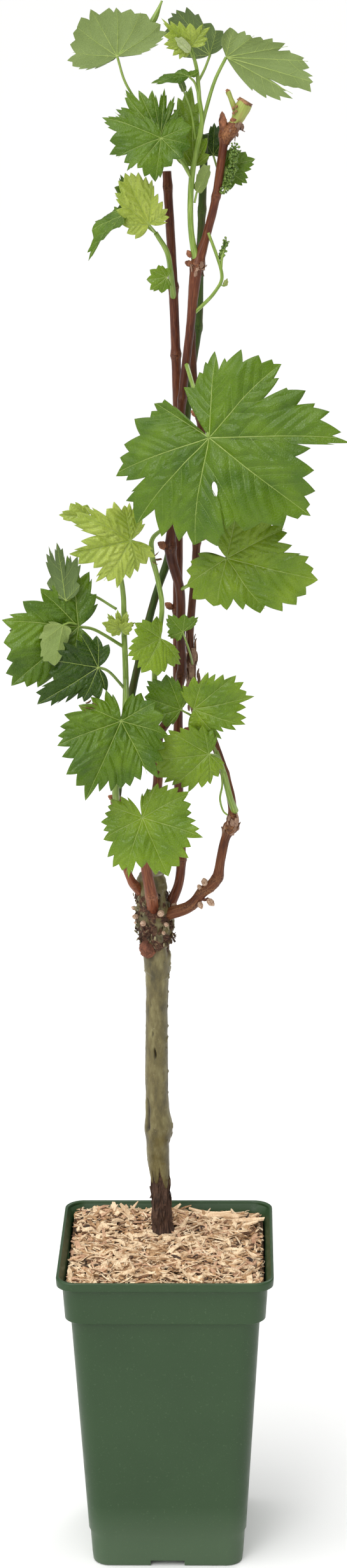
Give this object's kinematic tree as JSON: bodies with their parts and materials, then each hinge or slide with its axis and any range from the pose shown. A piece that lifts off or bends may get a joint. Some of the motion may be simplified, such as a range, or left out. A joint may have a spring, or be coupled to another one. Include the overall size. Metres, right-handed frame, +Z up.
{
  "type": "potted grapevine",
  "caption": "Young grafted grapevine with a straight trunk, several upright canes and lobed leaves, growing in a tall square nursery pot topped with wood chips",
  "frame": {"origin": "middle of the pot's flat underside, at the height that the pot stands on", "axes": "+Z up along the trunk, -Y to the front of the pictured view, +X to the right of that view"},
  "size_m": [0.2236, 0.1563, 1.0768],
  "materials": {
    "pot": "satin dark green moulded plastic",
    "potting_mix": "pale wood chips and shavings over potting mix",
    "bark": "olive grey waxed bark over dark brown fissured bark",
    "cane": "smooth reddish brown cane bark",
    "green_wood": "smooth green shoot bark",
    "foliage": "satin mid green leaves with pale veins"
  },
  "bodies": {
    "root": {"pot": "pot", "potting_mix": "potting_mix", "trunk": "bark", "front_cane_low": "cane", "front_cane_middle": "cane", "front_cane_high": "cane", "right_arm": "cane", "right_cane_low": "cane", "right_cane_high": "cane", "tall_cane": "cane", "left_arm": "cane", "green_cane_low": "green_wood", "green_cane_high": "green_wood", "top_stub": "green_wood", "foliage_top": "foliage", "foliage_top_left": "foliage", "foliage_top_right": "foliage", "flower_shoot": "foliage", "foliage_great": "foliage", "foliage_right": "foliage", "foliage_centre": "foliage", "foliage_centre_small": "foliage", "foliage_left": "foliage", "foliage_low": "foliage", "foliage_low_right": "foliage"}
  },
  "joints": []
}
